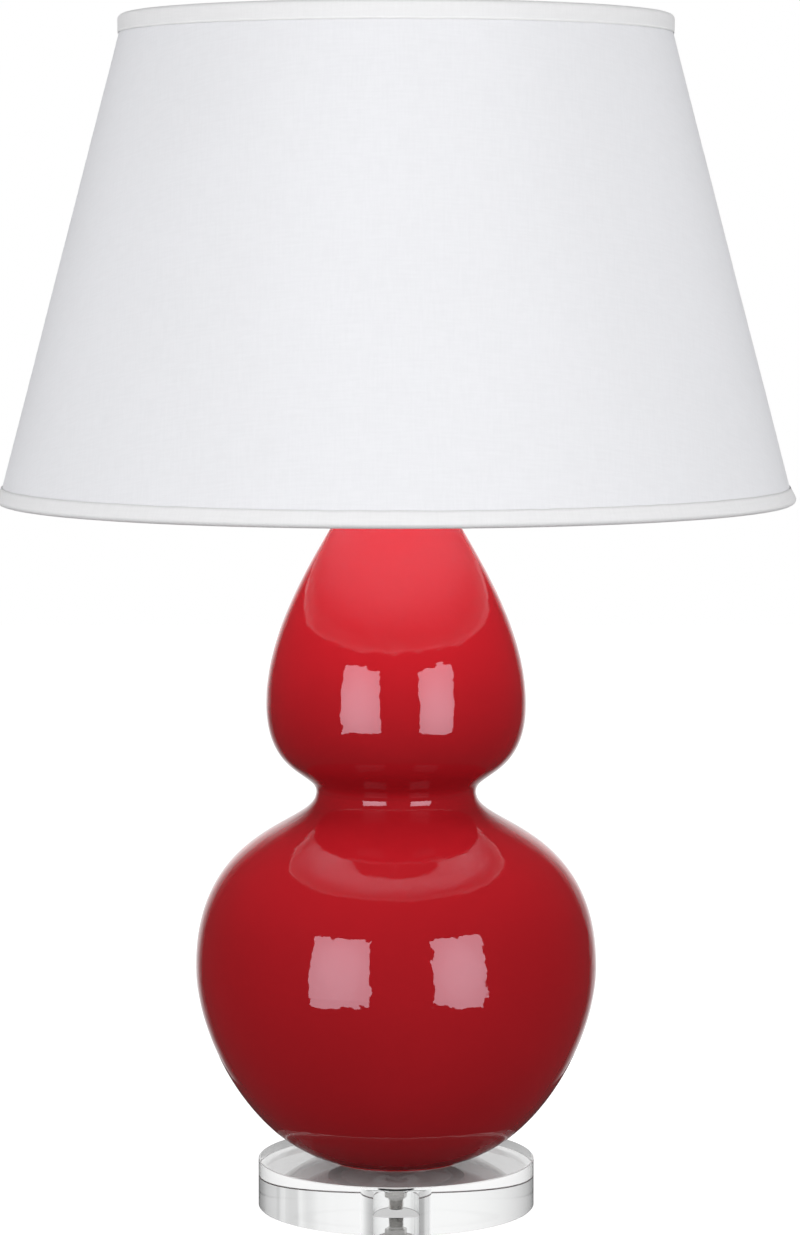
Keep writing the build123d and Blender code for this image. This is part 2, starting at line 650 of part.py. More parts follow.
def bulb_base():
    """The thin metal base that turns in the socket."""
    inner = BULB_BASE_RADIUS - BULB_BASE_WALL
    waist = BULB_INSULATOR_RADIUS + BULB_INSULATOR_STEP
    full = bulb_base_low + TURNING_GAP + BULB_BASE_TAPER
    return turned(
        (0, bulb_base_low + TURNING_GAP), (waist, bulb_base_low + TURNING_GAP), (BULB_BASE_RADIUS, full),
        (BULB_BASE_RADIUS, bulb_base_top), (inner, bulb_base_top), (inner, full + BULB_BASE_WALL),
        (waist, bulb_base_low + 2 * BULB_BASE_WALL), (0, bulb_base_low + 2 * BULB_BASE_WALL),
    )


def bulb_glass():
    """A pear shape with a straight neck cemented in the base."""
    top = bulb_low + BULB_LENGTH
    middle = top - BULB_RADIUS
    neck_end = bulb_base_top + BULB_NECK_COLLAR
    low = bulb_base_top - BULB_NECK_DEPTH
    curve = QUARTER_ROUND * BULB_RADIUS
    shapes = []
    for inset in (0, BULB_GLASS):
        neck = BULB_NECK_RADIUS - inset
        full = BULB_RADIUS - inset
        reach = BULB_FLANK_FULLNESS * (middle - neck_end)
        flank = Bezier((neck, neck_end), (neck, neck_end + reach), (full, middle - reach), (full, middle))
        dome = Bezier((full, middle), (full, middle + curve), (curve, top - inset), (0, top - inset))
        shapes.append(turned((0, low), (neck, low), flank, dome))
    return shapes[0] - shapes[1]


# ---- Shade ----

shade_slope = (SHADE_BOTTOM_RADIUS - SHADE_TOP_RADIUS) / SHADE_HEIGHT
liner_outset = FABRIC_THICKNESS + LAMINATE_GAP
ring_outset = liner_outset + LINER_THICKNESS + TAPE_GAP + RIM_WIRE / 2 * math.hypot(1, shade_slope)
top_ring_height = rim_top - RIM_WIRE_DEPTH
bottom_ring_height = rim_low + RIM_WIRE_DEPTH


def cone_radius(height):
    """Of the outside of the cloth at a height above the table."""
    return SHADE_TOP_RADIUS + shade_slope * (rim_top - height)


def cone_layer(outset, thickness):
    """One layer of the shade's cone, outset inwards from the outside of the cloth."""
    low = rim_low + CLOTH_EDGE_DEPTH
    high = rim_top - CLOTH_EDGE_DEPTH
    return turned(
        (cone_radius(low) - outset - thickness, low), (cone_radius(low) - outset, low),
        (cone_radius(high) - outset, high), (cone_radius(high) - outset - thickness, high),
    )


def rim_ring(height):
    path_radius = cone_radius(height) - ring_outset
    return Pos(0, 0, height) * Torus(path_radius, RIM_WIRE / 2)


def spider_arms(radius):
    """The arms run level from the middle, then rise to the wire in the top of the shade."""
    level = shade_seat + TURNING_GAP + SPIDER_WIRE / 2
    end = (cone_radius(top_ring_height) - ring_outset, top_ring_height)
    path = Plane.XZ * FilletPolyline(
        (SPIDER_RING_RADIUS - SPIDER_OVERLAP, level), (SPIDER_FLAT, level), end, radius=SPIDER_BEND)
    arm = sweep(Plane(origin=path @ 0, z_dir=(1, 0, 0)) * Circle(radius), path)
    step = 360 / SPIDER_ARMS
    return [Rot(0, 0, SPIDER_FIRST_ARM + number * step) * arm for number in range(SPIDER_ARMS)]


def shade_spider(top_ring_space):
    low = shade_seat + TURNING_GAP
    hole = STUD_DIAMETER / 2 + SPIDER_HOLE_CLEARANCE
    spider = ring(hole, SPIDER_RING_RADIUS, low, low + SPIDER_RING_THICKNESS)
    for arm in spider_arms(SPIDER_WIRE / 2):
        spider += arm
    return spider - top_ring_space


def band_section(edge, inwards, band_radius, band_height):
    """The tape folded over a rim, in section. edge is the rim's height, and inwards points to the cloth."""
    def height(depth):
        return edge + inwards * depth
    wire_radius_here = cone_radius(height(RIM_WIRE_DEPTH)) - ring_outset
    inner_face = wire_radius_here - RIM_WIRE / 2 - TAPE_GAP
    leg_face = inner_face - TAPE_THICKNESS
    cavity = height(CLOTH_EDGE_DEPTH - TAPE_GAP)
    under = cone_radius(height(band_height)) + TAPE_GAP
    over = under + BAND_STEP
    handle = 1 - QUARTER_ROUND
    corner = Bezier(
        (band_radius, height(BAND_ROUNDING)), (band_radius, height(handle * BAND_ROUNDING)),
        (band_radius - handle * BAND_ROLL, edge), (band_radius - BAND_ROLL, edge),
    )
    inner_corner = Bezier(
        (leg_face + BAND_ROUNDING, edge), (leg_face + handle * BAND_ROUNDING, edge),
        (leg_face, height(handle * BAND_ROUNDING)), (leg_face, height(BAND_ROUNDING)),
    )
    return [
        (under, height(band_height)), (over, height(band_height)), corner, inner_corner,
        (leg_face, height(INNER_BAND_HEIGHT)), (inner_face, height(INNER_BAND_HEIGHT)), (inner_face, cavity),
        (cone_radius(cavity) + TAPE_GAP, cavity),
    ]


def top_trim():
    """This band stands upright, so it leaves the cone towards the rim."""
    upright = cone_radius(rim_top - TOP_BAND_HEIGHT) + TAPE_GAP + BAND_STEP
    trim = turned(*band_section(rim_top, -1, upright, TOP_BAND_HEIGHT))
    for arm in spider_arms(SPIDER_WIRE / 2 + HOLE_CLEARANCE):
        trim -= arm
    return trim


def bottom_trim():
    return turned(*band_section(rim_low, 1, cone_radius(rim_low) + BOTTOM_BAND_FLARE, BOTTOM_BAND_HEIGHT))


# ---- Finial ----

finial_low = shade_seat + TURNING_GAP + SPIDER_RING_THICKNESS + TURNING_GAP


def finial_base():
    bore = STUD_DIAMETER / 2 + THREAD_CLEARANCE
    top = finial_low + FINIAL_BASE_HEIGHT
    foot_top = finial_low + FINIAL_FOOT_HEIGHT
    return turned(
        (bore, finial_low), (FINIAL_BASE_RADIUS, finial_low), (FINIAL_BASE_RADIUS, foot_top),
        (FINIAL_NECK_RADIUS, foot_top + FINIAL_FOOT_HEIGHT), (FINIAL_NECK_RADIUS, top - 2 * FINIAL_LIP),
        (FINIAL_NECK_RADIUS + FINIAL_LIP, top), (bore, top),
    )


def finial_knob():
    low = finial_low + FINIAL_BASE_HEIGHT + TURNING_GAP
    ball = Pos(0, 0, low + FINIAL_BALL_RADIUS - FINIAL_BALL_SUNK) * Sphere(FINIAL_BALL_RADIUS)
    flat = ring(0, 2 * FINIAL_BALL_RADIUS, low - 2 * FINIAL_BALL_RADIUS, low)
    bore = ring(0, STUD_DIAMETER / 2 + THREAD_CLEARANCE, low, low + FINIAL_BORE_DEPTH)
    return ball - flat - bore


def build():
    top_ring = rim_ring(top_ring_height)
    return {
        "acrylic_base": acrylic_base(),
        "base_washer": base_washer(),
        "base_nut": base_nut(),
        "lamp_pipe": lamp_pipe(),
        "ceramic_body": ceramic_body(),
        "cord_bushing": cord_bushing(),
        "vase_cap": vase_cap(),
        "neck_tube": neck_tube(),
        "harp_saddle": harp_saddle(),
        "harp_frame": harp_frame(),
        "harp_sleeve_left": harp_sleeve(-1),
        "harp_sleeve_right": harp_sleeve(1),
        "harp_stud": harp_stud(),
        "socket_cap": socket_cap(),
        "socket_set_screw": socket_set_screw(),
        "socket_shell": socket_shell(),
        "socket_liner": socket_liner(),
        "socket_interior": socket_interior(),
        "socket_screw_shell": socket_screw_shell(),
        "socket_contact": socket_contact(),
        "terminal_screws": terminal_screws(),
        "switch_shaft": switch_shaft(),
        "switch_knob": switch_knob(),
        "bulb_contact": bulb_contact(),
        "bulb_insulator": bulb_insulator(),
        "bulb_base": bulb_base(),
        "bulb_glass": bulb_glass(),
        "shade_spider": shade_spider(top_ring),
        "shade_top_ring": top_ring,
        "shade_bottom_ring": rim_ring(bottom_ring_height),
        "shade_liner": cone_layer(liner_outset, LINER_THICKNESS),
        "shade_fabric": cone_layer(0, FABRIC_THICKNESS),
        "top_trim": top_trim(),
        "bottom_trim": bottom_trim(),
        "finial_base": finial_base(),
        "finial_knob": finial_knob(),
    }


os.makedirs("parts", exist_ok=True)
for name, piece in build().items():
    export_step(piece, f"parts/{name}.step")
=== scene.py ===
import json
import math

import bmesh
import bpy
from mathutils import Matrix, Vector, noise


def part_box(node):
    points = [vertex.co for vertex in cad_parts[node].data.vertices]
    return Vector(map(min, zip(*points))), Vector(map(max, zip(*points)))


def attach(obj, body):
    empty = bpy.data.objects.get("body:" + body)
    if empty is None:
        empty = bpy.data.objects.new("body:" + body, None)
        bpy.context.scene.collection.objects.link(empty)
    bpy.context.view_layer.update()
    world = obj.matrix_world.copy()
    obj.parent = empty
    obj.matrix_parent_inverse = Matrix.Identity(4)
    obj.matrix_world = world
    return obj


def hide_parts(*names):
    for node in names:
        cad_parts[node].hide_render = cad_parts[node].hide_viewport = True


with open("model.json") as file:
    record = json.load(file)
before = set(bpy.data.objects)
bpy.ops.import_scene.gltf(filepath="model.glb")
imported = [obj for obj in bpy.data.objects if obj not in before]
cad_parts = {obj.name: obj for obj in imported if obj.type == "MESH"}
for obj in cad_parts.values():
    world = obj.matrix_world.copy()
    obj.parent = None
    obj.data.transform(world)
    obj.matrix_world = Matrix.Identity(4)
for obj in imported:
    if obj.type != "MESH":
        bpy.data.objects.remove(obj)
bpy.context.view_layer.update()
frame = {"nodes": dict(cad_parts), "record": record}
record = frame["record"]

MM = 0.001
FULL_TURN = 2 * math.pi
WHITE = (1.0, 1.0, 1.0)
NOISE_MIDDLE = (0.3, 0.7)      # most of what a noise node gives


# ---- Node helpers ----

class Nodes:
    """The node tree of a material or of the world, with short calls to add to it."""

    def __init__(self, owner, output_kind):
        owner.use_nodes = True
        self.owner = owner
        self.tree = owner.node_tree
        self.tree.nodes.clear()
        self.output = self.tree.nodes.new("ShaderNode" + output_kind)

    def add(self, kind, settings=None, **inputs):
        made = self.tree.nodes.new("ShaderNode" + kind)
        for key, value in (settings or {}).items():
            setattr(made, key, value)
        for key, value in inputs.items():
            self.put(made.inputs[key.replace("_", " ")], value)
        return made

    def put(self, socket, value):
        if isinstance(value, bpy.types.NodeSocket):
            self.tree.links.new(value, socket)
        else:
            socket.default_value = value

    def put_all(self, sockets, values):
        for socket, value in zip(sockets, values):
            self.put(socket, value)

    def place(self, kind="Object"):
        return self.add("TexCoord").outputs[kind]

    def axis(self, vector, name):
        return self.add("SeparateXYZ", Vector=vector).outputs[name]

    def stretched(self, vector, scale):
        return self.add("Mapping", Vector=vector, Scale=scale).outputs["Vector"]

    def noise(self, vector, scale, detail=2.0, roughness=0.5, distortion=0.0):
        made = self.add(
            "TexNoise", Vector=vector, Scale=scale, Detail=detail, Roughness=roughness,
            Distortion=distortion,
        )
        return made.outputs["Fac"]

    def calc(self, operation, *values):
        made = self.add("Math", {"operation": operation})
        self.put_all(made.inputs, values)
        return made.outputs[0]

    def ramp(self, factor, low, high, start=0.0, end=1.0):
        """A value that goes smoothly from start to end while factor goes from low to high."""
        made = self.add("MapRange", {"clamp": True, "interpolation_type": "SMOOTHSTEP"})
        self.put_all(made.inputs, (factor, low, high, start, end))
        return made.outputs[0]

    def number_mix(self, factor, first, second):
        made = self.add("Mix", {"data_type": "FLOAT"})
        self.put_all((made.inputs[0], made.inputs[2], made.inputs[3]), (factor, first, second))
        return made.outputs[0]

    def colours(self, factor, first, second):
        made = self.add("Mix", {"data_type": "RGBA"})
        sockets = (made.inputs[0], made.inputs[6], made.inputs[7])
        self.put_all(sockets, (factor, colour(first), colour(second)))
        return made.outputs[2]

    def bump(self, height, distance, strength=1.0, normal=None):
        made = self.add("Bump", Height=height, Distance=distance, Strength=strength)
        if normal is not None:
            self.put(made.inputs["Normal"], normal)
        return made.outputs["Normal"]

    def principled(self, **inputs):
        return self.add("BsdfPrincipled", **inputs).outputs[0]

    def translucent(self, tint):
        return self.add("BsdfTranslucent", Color=tint).outputs[0]

    def shine(self, strength, tint=WHITE):
        return self.add("Emission", Color=colour(tint), Strength=strength).outputs[0]

    def mix(self, factor, first, second):
        made = self.add("MixShader")
        self.put_all(made.inputs, (factor, first, second))
        return made.outputs[0]

    def done(self, surface):
        self.put(self.output.inputs["Surface"], surface)
        return self.owner


def new_material(name):
    return Nodes(bpy.data.materials.new(name), "OutputMaterial")


def colour(value):
    """A colour with its alpha. A socket, and a colour that has its alpha, come back as they are."""
    return (*value, 1.0) if isinstance(value, tuple) and len(value) == 3 else value


# ---- Glaze and acrylic ----
# Frequencies are noise cells to the metre. The cloth's flat pattern is in metres as well.

GLAZE_RED = (0.355, 0.0080, 0.0130)
GLAZE_DEEP = (0.335, 0.0075, 0.0120)
GLAZE_ROUGHNESS = 0.025
GLAZE_IOR = 1.55
GLAZE_CLOUD_FREQUENCY = 9.0
GLAZE_RIPPLE_SIZE = 9 * MM
GLAZE_RIPPLE_SHARE = 0.5
GLAZE_SWELL_SIZE = 24 * MM
GLAZE_SWELL_DEPTH = 0.28 * MM
BARE_CLAY = (0.62, 0.55, 0.46)
CLAY_ROUGHNESS = 0.75
CLAY_PIT_FREQUENCY = 900.0
CLAY_PIT_DEPTH = 0.05 * MM
FOOT_GLAZE_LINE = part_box("acrylic_base")[1].z + 0.05 * MM
FOOT_LINE_BLUR = 0.02 * MM

ACRYLIC_TINT = (0.985, 0.99, 0.99, 1.0)
ACRYLIC_IOR = 1.49
ACRYLIC_RUB_FREQUENCY = 45.0
ACRYLIC_RUB_ROUGHNESS = 0.02
ACRYLIC_WAVE_FREQUENCY = 14.0
ACRYLIC_WAVE_DEPTH = 0.02 * MM
ACRYLIC_RUB_RANGE = (0.55, 0.80)
SANDED_ROUGHNESS = 0.45
SANDED_CLEARNESS = 0.3
SLOPE_BEGINS = (0.15, 0.35)    # the upward part of the normal, from which a face counts as sloping
SLOPE_ENDS = (0.85, 0.97)      # and above which it counts as flat


def make_glaze():
    """A deep red glaze that swells and ripples slightly, with bare clay on the foot ring."""
    s = new_material("crimson_glaze")
    place = s.place()
    foot = s.ramp(s.axis(place, "Z"), FOOT_GLAZE_LINE - FOOT_LINE_BLUR,
                  FOOT_GLAZE_LINE + FOOT_LINE_BLUR, 1.0, 0.0)
    cloud = s.ramp(s.noise(place, GLAZE_CLOUD_FREQUENCY, detail=3.0), *NOISE_MIDDLE)
    red = s.colours(cloud, GLAZE_DEEP, GLAZE_RED)
    ripple = s.noise(place, 1 / GLAZE_RIPPLE_SIZE, detail=1.5)
    swell = s.noise(place, 1 / GLAZE_SWELL_SIZE, detail=1.0)
    wavy = s.calc("ADD", s.calc("MULTIPLY", ripple, GLAZE_RIPPLE_SHARE), swell)
    pits = s.noise(place, CLAY_PIT_FREQUENCY)
    return s.done(s.principled(
        Base_Color=s.colours(foot, red, BARE_CLAY),
        Roughness=s.ramp(foot, 0.0, 1.0, GLAZE_ROUGHNESS, CLAY_ROUGHNESS),
        IOR=GLAZE_IOR,
        Normal=s.bump(pits, CLAY_PIT_DEPTH, strength=s.ramp(foot, 0.0, 1.0),
                      normal=s.bump(wavy, GLAZE_SWELL_DEPTH)),
    ))


def make_acrylic():
    """Clear polished acrylic. Faces that slope upwards, such as the rounded upper edge, are sanded."""
    s = new_material("acrylic")
    place = s.place()
    steepness = s.axis(s.place("Normal"), "Z")
    sloping = s.calc("MULTIPLY", s.ramp(steepness, *SLOPE_BEGINS),
                     s.ramp(steepness, *SLOPE_ENDS, 1.0, 0.0))
    rub = s.noise(place, ACRYLIC_RUB_FREQUENCY, detail=4.0, roughness=0.7)
    polish = s.ramp(rub, *ACRYLIC_RUB_RANGE, 0.0, ACRYLIC_RUB_ROUGHNESS)
    return s.done(s.principled(
        Base_Color=ACRYLIC_TINT,
        Roughness=s.number_mix(sloping, polish, SANDED_ROUGHNESS),
        IOR=ACRYLIC_IOR,
        Transmission_Weight=s.number_mix(sloping, 1.0, SANDED_CLEARNESS),
        Normal=s.bump(s.noise(place, ACRYLIC_WAVE_FREQUENCY, detail=1.0), ACRYLIC_WAVE_DEPTH,
                      strength=0.5),
    ))


# ---- Metals and plastics ----

TOOL_MARK_DEPTH = 0.03 * MM
WORN_FREQUENCY = 70.0
WORN_TONE = 0.8              # of the tint, where the metal isn't given a dull colour of its own
WORN_ROUGHENING = 0.12
WORN_TONE_RANGE = (0.45, 0.75)
WORN_ROUGH_RANGE = (0.35, 0.80)
MOTTLE_FREQUENCY = 160.0
MOTTLE_ROUGHENING = 0.08
MOULD_GRAIN_FREQUENCY = 1400.0
MOULD_GRAIN_DEPTH = 0.02 * MM


def make_metal(name, tint, roughness, grain=260.0, dull=None, stretch=(1.0, 1.0, 1.0)):
    """A turned, drawn or plated metal, with fine tool marks and duller patches."""
    s = new_material(name)
    place = s.place()
    marks = s.noise(s.stretched(place, stretch), grain, detail=3.0, roughness=0.6)
    patches = s.noise(place, WORN_FREQUENCY, detail=4.0, roughness=0.6)
    dull = dull or tuple(WORN_TONE * c for c in tint)
    return s.done(s.principled(
        Base_Color=s.colours(s.ramp(patches, *WORN_TONE_RANGE), tint, dull),
        Metallic=1.0,
        Roughness=s.ramp(patches, *WORN_ROUGH_RANGE, roughness, roughness + WORN_ROUGHENING),
        Normal=s.bump(marks, TOOL_MARK_DEPTH, strength=0.35),
    ))


def make_plastic(name, tint, roughness, mottling=0.15):
    """A moulded plastic, a hard fibre or black glass, with a faint mottle and grain."""
    s = new_material(name)
    place = s.place()
    mottle = s.noise(place, MOTTLE_FREQUENCY, detail=4.0, roughness=0.6)
    darker = tuple(c * (1 - mottling) for c in tint)
    return s.done(s.principled(
        Base_Color=s.colours(s.ramp(mottle, *NOISE_MIDDLE), tint, darker),
        Roughness=s.ramp(mottle, *NOISE_MIDDLE, roughness, roughness + MOTTLE_ROUGHENING),
        Normal=s.bump(s.noise(place, MOULD_GRAIN_FREQUENCY), MOULD_GRAIN_DEPTH, strength=0.4),
    ))


# ---- Cloth, lining and bulb ----

CLOTH_PITCH = 0.55 * MM
TAPE_PITCH = 0.45 * MM
SLUB_FREQUENCY = 60.0
SLUB_STRETCH = 12.0          # how much longer than wide a thick stretch of yarn is
SLUB_SHIFT = 1.2             # threads by which thick yarn pushes the others aside, at most
SLUB_HEIGHT = 2.0            # of the threads' own height
SLUB_RANGE = (0.36, 0.64)
SLUB_TONE_SHARE = 0.75
DRIFT_FREQUENCY = 6.0
# A painted highlight along a tape's folded edge: its colour, its width, and how much of that width is at
# full colour.
FOLD_HIGHLIGHT_COLOUR = (0.97, 0.97, 0.975)
FOLD_HIGHLIGHT_WIDTH = 1.8 * MM
FOLD_HIGHLIGHT_SOLID = 0.6        # of its width
CLOTH_ROUGHNESS = 0.85
CLOTH_GLOSS = 0.2
CLOTH_SHEEN = 0.15
CLOTH_SHEEN_ROUGHNESS = 0.5
LINER_ROUGHNESS = 0.45
LINER_GRAIN_FREQUENCY = 700.0
LINER_CLOUD_FREQUENCY = 25.0
LINER_TRANSLUCENCE = 0.4
BULB_IOR = 1.5
BULB_ROUGHNESS = 0.42
BULB_CLEARNESS = 0.45
BULB_ETCH_FREQUENCY = 900.0
BULB_CLOUD_FREQUENCY = 40.0
FINE_GRAIN_DEPTH = 0.03 * MM


def weave(s, place, pitch):
    """Threads both ways over a flat cloth, in metres: their height, and how thick each one runs."""
    threads = []
    slubs = []
    for across, stretch in (("Y", (1.0, SLUB_STRETCH, 1.0)), ("X", (SLUB_STRETCH, 1.0, 1.0))):
        uneven = s.noise(s.stretched(place, stretch), SLUB_FREQUENCY, detail=3.0, roughness=0.65)
        count = s.calc("DIVIDE", s.axis(place, across), pitch)
        shifted = s.calc("ADD", count, s.calc("MULTIPLY", uneven, SLUB_SHIFT))
        threads.append(s.calc("ABSOLUTE", s.calc("SINE", s.calc("MULTIPLY", shifted, math.pi))))
        slubs.append(uneven)
    return s.calc("MAXIMUM", *threads), s.calc("MULTIPLY", s.calc("ADD", *slubs), 0.5)


def make_cloth(name, pitch, depth, translucence, bright, dark, painted_fold_highlight=False):
    """A woven cloth. A fold line, if asked for, is a painted highlight: a lighter stripe along its first
    edge, standing in for the light that the fold catches.
    """
    s = new_material(name)
    place = s.place("UV")
    threads, slub = weave(s, place, pitch)
    drift = s.noise(place, DRIFT_FREQUENCY)
    tone = s.calc("ADD", s.calc("MULTIPLY", s.ramp(slub, *SLUB_RANGE), SLUB_TONE_SHARE),
                  s.calc("MULTIPLY", drift, 1 - SLUB_TONE_SHARE))
    tint = s.colours(tone, dark, bright)
    # Painted highlight: a lighter stripe along the folded edge, for the light that the fold catches.
    if painted_fold_highlight:
        from_edge = s.axis(place, "Y")
        fold_highlight = s.ramp(from_edge, FOLD_HIGHLIGHT_SOLID * FOLD_HIGHLIGHT_WIDTH, FOLD_HIGHLIGHT_WIDTH, 1.0, 0.0)
        tint = s.colours(fold_highlight, tint, FOLD_HIGHLIGHT_COLOUR)
    face = s.principled(
        Base_Color=tint,
        Roughness=CLOTH_ROUGHNESS,
        Specular_IOR_Level=CLOTH_GLOSS,
        Sheen_Weight=CLOTH_SHEEN,
        Sheen_Roughness=CLOTH_SHEEN_ROUGHNESS,
        Normal=s.bump(s.calc("ADD", threads, s.calc("MULTIPLY", slub, SLUB_HEIGHT)), depth, strength=0.6),
    )
    return s.done(s.mix(translucence, face, s.translucent(tint)))


def make_liner():
    """A white sheet, faintly clouded, that lets some light through."""
    s = new_material("styrene")
    place = s.place()
    clouds = s.ramp(s.noise(place, LINER_CLOUD_FREQUENCY, detail=3.0), *NOISE_MIDDLE)
    tint = s.colours(clouds, (0.86, 0.86, 0.85), (0.82, 0.82, 0.81))
    grain = s.noise(place, LINER_GRAIN_FREQUENCY)
    sheet = s.principled(Base_Color=tint, Roughness=LINER_ROUGHNESS,
                         Normal=s.bump(grain, FINE_GRAIN_DEPTH, strength=0.3))
    return s.done(s.mix(LINER_TRANSLUCENCE, sheet, s.translucent(tint)))


def make_frosted_glass():
    s = new_material("frosted_glass")
    place = s.place()
    clouds = s.noise(place, BULB_CLOUD_FREQUENCY, detail=3.0)
    return s.done(s.principled(
        Base_Color=s.colours(clouds, (0.86, 0.86, 0.85), (0.93, 0.93, 0.92)),
        Roughness=BULB_ROUGHNESS,
        IOR=BULB_IOR,
        Transmission_Weight=BULB_CLEARNESS,
        Normal=s.bump(s.noise(place, BULB_ETCH_FREQUENCY), FINE_GRAIN_DEPTH, strength=0.4),
    ))


# ---- Every node gets its material ----

materials = {
    "acrylic": make_acrylic(),
    "crimson_glaze": make_glaze(),
    "steel": make_metal("steel", (0.74, 0.73, 0.71), 0.22),
    "nickel": make_metal("nickel", (0.84, 0.82, 0.79), 0.14),
    "brass": make_metal("brass", (0.79, 0.60, 0.30), 0.20, dull=(0.60, 0.42, 0.19)),
    "wire": make_metal("wire", (0.68, 0.67, 0.65), 0.24, stretch=(1.0, 1.0, 0.15)),
    "bulb_metal": make_metal("bulb_metal", (0.80, 0.79, 0.76), 0.30),
    "solder": make_metal("solder", (0.62, 0.62, 0.61), 0.42, grain=420.0),
    "nylon": make_plastic("nylon", (0.78, 0.76, 0.70), 0.40),
    "phenolic": make_plastic("phenolic", (0.035, 0.028, 0.024), 0.28),
    "fibre": make_plastic("fibre", (0.30, 0.20, 0.12), 0.75, mottling=0.30),
    "black_glass": make_plastic("black_glass", (0.012, 0.012, 0.016), 0.08),
    "shade_cloth": make_cloth("shade_cloth", CLOTH_PITCH, depth=0.06 * MM, translucence=0.12,
                              bright=(0.886, 0.891, 0.916), dark=(0.848, 0.853, 0.878)),
    # The tape gets a painted highlight along its folded edge.
    "shade_tape": make_cloth("shade_tape", TAPE_PITCH, depth=0.05 * MM, translucence=0.08,
                             bright=(0.870, 0.870, 0.878), dark=(0.835, 0.835, 0.843), painted_fold_highlight=True),
    "styrene": make_liner(),
    "frosted_glass": make_frosted_glass(),
}

for part in record["subparts"]:
    node = frame["nodes"][part["node"]]
    node.data.materials.clear()
    node.data.materials.append(materials[part["material_slot"]])
    for face in node.data.polygons:
        face.material_index = 0


# ---- The shade's cone ----

SHADE_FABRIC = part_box("shade_fabric")
TOP_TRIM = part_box("top_trim")
BOTTOM_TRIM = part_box("bottom_trim")
RIM_TOP = TOP_TRIM[1].z
RIM_LOW = BOTTOM_TRIM[0].z
CLOTH_LOW = SHADE_FABRIC[0].z
CLOTH_HIGH = SHADE_FABRIC[1].z
CONE_LOW_RADIUS = SHADE_FABRIC[1].x
CONE_TOP_RADIUS = 172.7 * MM
CONE_SLOPE = (CONE_LOW_RADIUS - CONE_TOP_RADIUS) / (RIM_TOP - CLOTH_LOW)
CONE_SLANT = math.hypot(1.0, CONE_SLOPE)
BACK = math.pi / 2


def cone_radius(z):
    return CONE_TOP_RADIUS + CONE_SLOPE * (RIM_TOP - z)


def polar(radius, angle, z):
    return Vector((radius * math.cos(angle), radius * math.sin(angle), z))


def flat_place(angle_from_front, z):
    """Where a point of the cone lies on the sheet that it is rolled from, in metres."""
    apex_distance = cone_radius(z) * CONE_SLANT / CONE_SLOPE
    turn = angle_from_front * (CONE_SLOPE / CONE_SLANT)
    return apex_distance * math.sin(turn), apex_distance * math.cos(turn)


def smooth(x):
    x = min(1.0, max(0.0, x))
    return x * x * (3 - 2 * x)


def new_object(name, mesh, slot_name, node):
    piece = bpy.data.objects.new(name, mesh)
    bpy.context.scene.collection.objects.link(piece)
    mesh.materials.append(materials[slot_name])
    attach(piece, "shade")
    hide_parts(node)
    return piece


# ---- The cloth ----

CLOTH_THICKNESS = 0.6 * MM
CLOTH_COLUMNS = 360
CLOTH_ROWS = 46
CLOTH_UNEVEN = 0.35 * MM
CLOTH_SINK = 0.3             # of CLOTH_UNEVEN, by which the cloth lies inside its cone
CLOTH_EDGE = 30 * MM         # over which the unevenness fades out
HOLLOWS_ROUND = 3
HOLLOWS_UP = 9
LAP_WIDTH = 12 * MM
LAP_RAMP = 5 * MM
LAP_LIFT = 0.65 * MM


def cloth_offset(turned, z):
    """How far the cloth stands off its cone: slight hollows, and the lap of its end over its start."""
    angle = BACK + turned
    spot = Vector((HOLLOWS_ROUND * math.cos(angle), HOLLOWS_ROUND * math.sin(angle), z * HOLLOWS_UP))
    edge = smooth((z - CLOTH_LOW) / CLOTH_EDGE) * smooth((CLOTH_HIGH - z) / CLOTH_EDGE)
    uneven = CLOTH_UNEVEN * edge * noise.noise(spot) - CLOTH_UNEVEN * CLOTH_SINK * edge
    over = (turned - FULL_TURN) * cone_radius(z)
    return uneven + LAP_LIFT * smooth((over + LAP_RAMP) / LAP_RAMP)


def cloth_grid(bm, places, total, depth):
    """One side of the cloth, as columns of corners. Their places on the flat sheet go into places."""
    grid = []
    for i in range(CLOTH_COLUMNS + 1):
        turned = total * i / CLOTH_COLUMNS
        column = []
        for k in range(CLOTH_ROWS + 1):
            z = CLOTH_LOW + (CLOTH_HIGH - CLOTH_LOW) * k / CLOTH_ROWS
            radius = cone_radius(z) + cloth_offset(turned, z) - depth
            corner = bm.verts.new(polar(radius, BACK + turned, z))
            places[corner] = flat_place(turned - math.pi, z)
            column.append(corner)
        grid.append(column)
    return grid


def make_shade_cloth():
    """The cloth of the cone, as a closed skin of its own thickness, with its seam at the back."""
    bm = bmesh.new()
    uv = bm.loops.layers.uv.new("flat")
    total = FULL_TURN + LAP_WIDTH / cone_radius(0.5 * (CLOTH_LOW + CLOTH_HIGH))
    places = {}
    outer = cloth_grid(bm, places, total, 0.0)
    inner = cloth_grid(bm, places, total, CLOTH_THICKNESS)

    def face(*corners):
        made = bm.faces.new(corners)
        made.smooth = True
        for loop in made.loops:
            loop[uv].uv = places[loop.vert]

    for i in range(CLOTH_COLUMNS):
        for k in range(CLOTH_ROWS):
            face(outer[i][k], outer[i + 1][k], outer[i + 1][k + 1], outer[i][k + 1])
            face(inner[i][k + 1], inner[i + 1][k + 1], inner[i + 1][k], inner[i][k])
        face(outer[i + 1][0], outer[i][0], inner[i][0], inner[i + 1][0])
        face(outer[i][-1], outer[i + 1][-1], inner[i + 1][-1], inner[i][-1])
    for k in range(CLOTH_ROWS):
        face(outer[0][k], outer[0][k + 1], inner[0][k + 1], inner[0][k])
        face(outer[-1][k + 1], outer[-1][k], inner[-1][k], inner[-1][k + 1])
    mesh = bpy.data.meshes.new("shade_cloth")
    bm.to_mesh(mesh)
    bm.free()
    return new_object("shade_cloth", mesh, "shade_cloth", "shade_fabric")


# ---- The folded tapes ----

